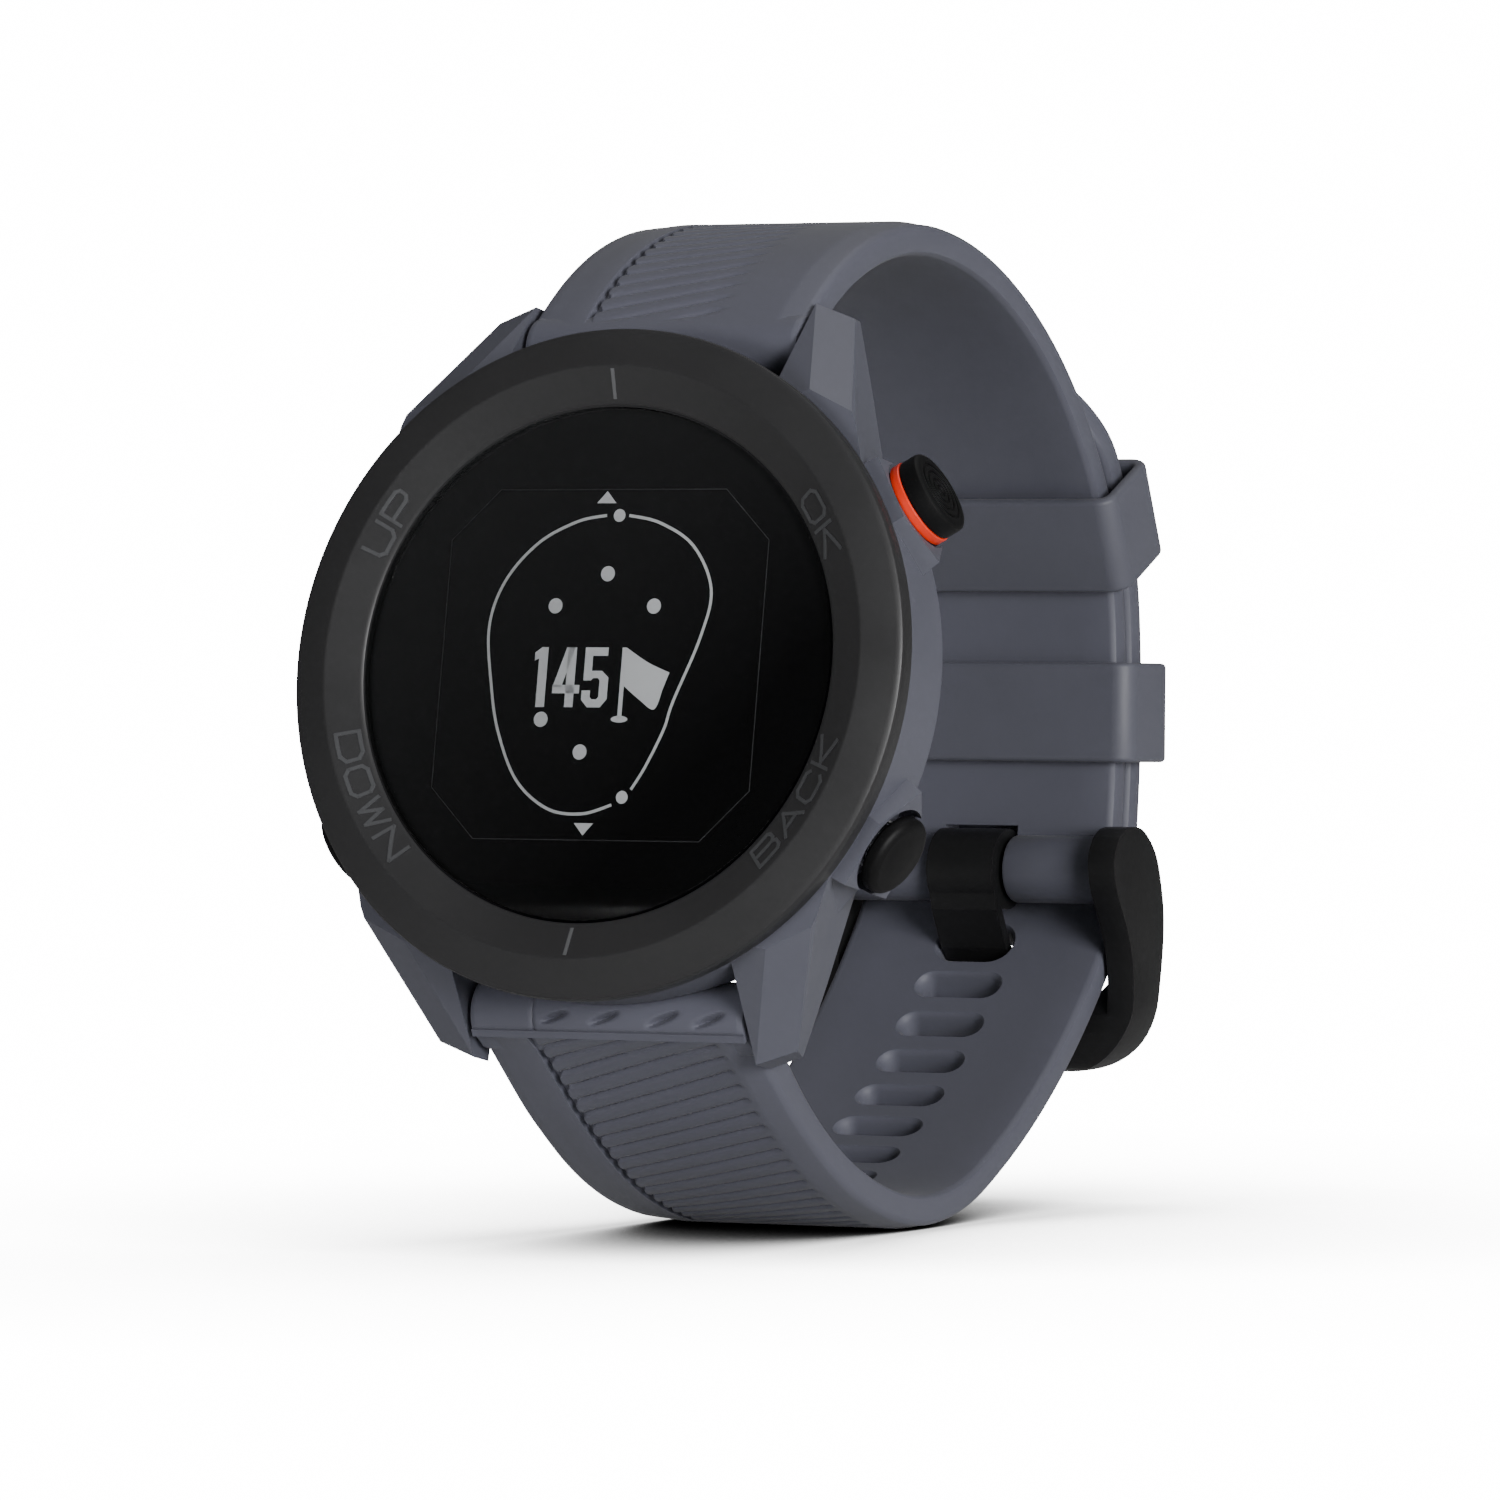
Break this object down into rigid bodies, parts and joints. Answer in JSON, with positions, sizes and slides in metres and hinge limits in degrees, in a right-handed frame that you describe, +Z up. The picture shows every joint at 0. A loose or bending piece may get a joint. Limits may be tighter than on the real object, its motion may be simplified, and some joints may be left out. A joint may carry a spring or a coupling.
{
  "type": "golf gps watch",
  "caption": "Golf GPS watch with round black bezel, octagonal hole-map display, faceted lugs and slate-grey ribbed silicone strap, buckled in a loop.",
  "frame": {"origin": "middle of the bounding box at its lowest level, under the strap loop", "axes": "+X to the 3 o'clock side, +Y from the dial toward the buckle, +Z up; the dial faces -Y and leans back 10 degrees"},
  "size_m": [0.0442, 0.07, 0.0669],
  "materials": {
    "case_grey": "fine satin moulded fibre-reinforced polymer",
    "bezel_black": "satin black with a fine grain, brighter on the inner slope",
    "lens_glass": "flat polished cover glass",
    "display_black": "reflective black panel with pale grey figures and a green outline",
    "guide_white": "clear moulded sheet",
    "chassis_black": "plain moulded plastic",
    "board_green": "solder mask over fibreglass",
    "battery_foil": "laminated foil pouch",
    "antenna_ceramic": "fired ceramic patch with a metal face",
    "cover_grey": "satin moulded polymer",
    "steel": "bright stainless steel",
    "contact_gold": "gold-plated contact pins",
    "seal_black": "plain black rubber",
    "button_black": "satin black, lathe-turned faces",
    "accent_red": "bright red ring",
    "strap_silicone": "matte silicone with a soft sheen and moulded ribs",
    "keeper_silicone": "matte silicone",
    "buckle_black": "fine-grained black coating"
  },
  "bodies": {
    "case": {"case_middle": "case_grey", "bezel": "bezel_black", "lens": "lens_glass", "lens_gasket": "seal_black", "display_panel": "display_black", "light_guide": "guide_white", "inner_chassis": "chassis_black", "battery": "battery_foil", "gps_antenna": "antenna_ceramic", "main_board": "board_green", "button_switches": "chassis_black", "rear_gasket": "seal_black", "rear_cover": "cover_grey", "rear_screws": "steel", "charging_contacts": "contact_gold", "ok_seal": "seal_black", "ok_spring": "steel", "back_seal": "seal_black", "back_spring": "steel", "up_seal": "seal_black", "up_spring": "steel", "down_seal": "seal_black", "down_spring": "steel"},
    "upper_strap_body": {"upper_strap": "strap_silicone", "upper_bar_tube": "steel", "upper_bar_fixed_pin": "steel", "upper_bar_spring": "steel", "buckle_pin": "buckle_black"},
    "lower_strap_body": {"lower_strap": "strap_silicone", "lower_bar_tube": "steel", "lower_bar_fixed_pin": "steel", "lower_bar_spring": "steel"},
    "upper_release": {"upper_bar_release_pin": "steel"},
    "lower_release": {"lower_bar_release_pin": "steel"},
    "frame_body": {"buckle_frame": "buckle_black"},
    "tongue_body": {"buckle_tongue": "buckle_black"},
    "lower_keeper_body": {"lower_keeper": "keeper_silicone"},
    "upper_keeper_body": {"upper_keeper": "keeper_silicone"},
    "ok_button_body": {"ok_button": "button_black", "ok_clip": "steel", "ok_accent_ring": "accent_red"},
    "back_button_body": {"back_button": "button_black", "back_clip": "steel"},
    "up_button_body": {"up_button": "button_black", "up_clip": "steel"},
    "down_button_body": {"down_button": "button_black", "down_clip": "steel"}
  },
  "joints": [
    {"name": "ok_press", "type": "slide", "parent": "case", "child": "ok_button_body", "axis": [-0.866, -0.0881, -0.4922], "range_m": [0, 0.0007], "stiffness_N_per_m": 1200, "springref_m": -0.0008, "deforming": ["ok_spring"]},
    {"name": "back_press", "type": "slide", "parent": "case", "child": "back_button_body", "axis": [-0.866, 0.0881, 0.4922], "range_m": [0, 0.0007], "stiffness_N_per_m": 1200, "springref_m": -0.0008, "deforming": ["back_spring"]},
    {"name": "up_press", "type": "slide", "parent": "case", "child": "up_button_body", "axis": [0.866, -0.0881, -0.4922], "range_m": [0, 0.0007], "stiffness_N_per_m": 1200, "springref_m": -0.0008, "deforming": ["up_spring"]},
    {"name": "down_press", "type": "slide", "parent": "case", "child": "down_button_body", "axis": [0.866, 0.0881, 0.4922], "range_m": [0, 0.0007], "stiffness_N_per_m": 1200, "springref_m": -0.0008, "deforming": ["down_spring"]},
    {"name": "upper_strap_swing", "type": "hinge", "parent": "case", "child": "upper_strap_body", "pos_m": [-0.00023, -0.01924, 0.05802], "axis": [1, 0, 0], "range_deg": [-0.25, 0.25]},
    {"name": "lower_strap_swing", "type": "hinge", "parent": "case", "child": "lower_strap_body", "pos_m": [-0.00023, -0.02692, 0.0151], "axis": [1, 0, 0], "range_deg": [-0.25, 0.25]},
    {"name": "upper_release_slide", "type": "slide", "parent": "upper_strap_body", "child": "upper_release", "axis": [-1, 0, 0], "range_m": [0, 0.0012], "stiffness_N_per_m": 900, "springref_m": -0.001, "deforming": ["upper_bar_spring"]},
    {"name": "lower_release_slide", "type": "slide", "parent": "lower_strap_body", "child": "lower_release", "axis": [-1, 0, 0], "range_m": [0, 0.0012], "stiffness_N_per_m": 900, "springref_m": -0.001, "deforming": ["lower_bar_spring"]},
    {"name": "frame_swing", "type": "hinge", "parent": "upper_strap_body", "child": "frame_body", "pos_m": [-0.00023, 0.02757, 0.02297], "axis": [1, 0, 0], "range_deg": [-2, 0]},
    {"name": "tongue_swing", "type": "hinge", "parent": "upper_strap_body", "child": "tongue_body", "pos_m": [-0.00023, 0.02757, 0.02297], "axis": [1, 0, 0], "range_deg": [0, 1.5]},
    {"name": "lower_keeper_slide", "type": "hinge", "parent": "upper_strap_body", "child": "lower_keeper_body", "pos_m": [-0.00023, -0.03401, 0.03514], "axis": [1, 0, 0], "range_deg": [-3.4, 1.3]},
    {"name": "upper_keeper_slide", "type": "hinge", "parent": "upper_strap_body", "child": "upper_keeper_body", "pos_m": [-0.00023, 0.00779, 0.03806], "axis": [1, 0, 0], "range_deg": [-5, 6]}
  ]
}
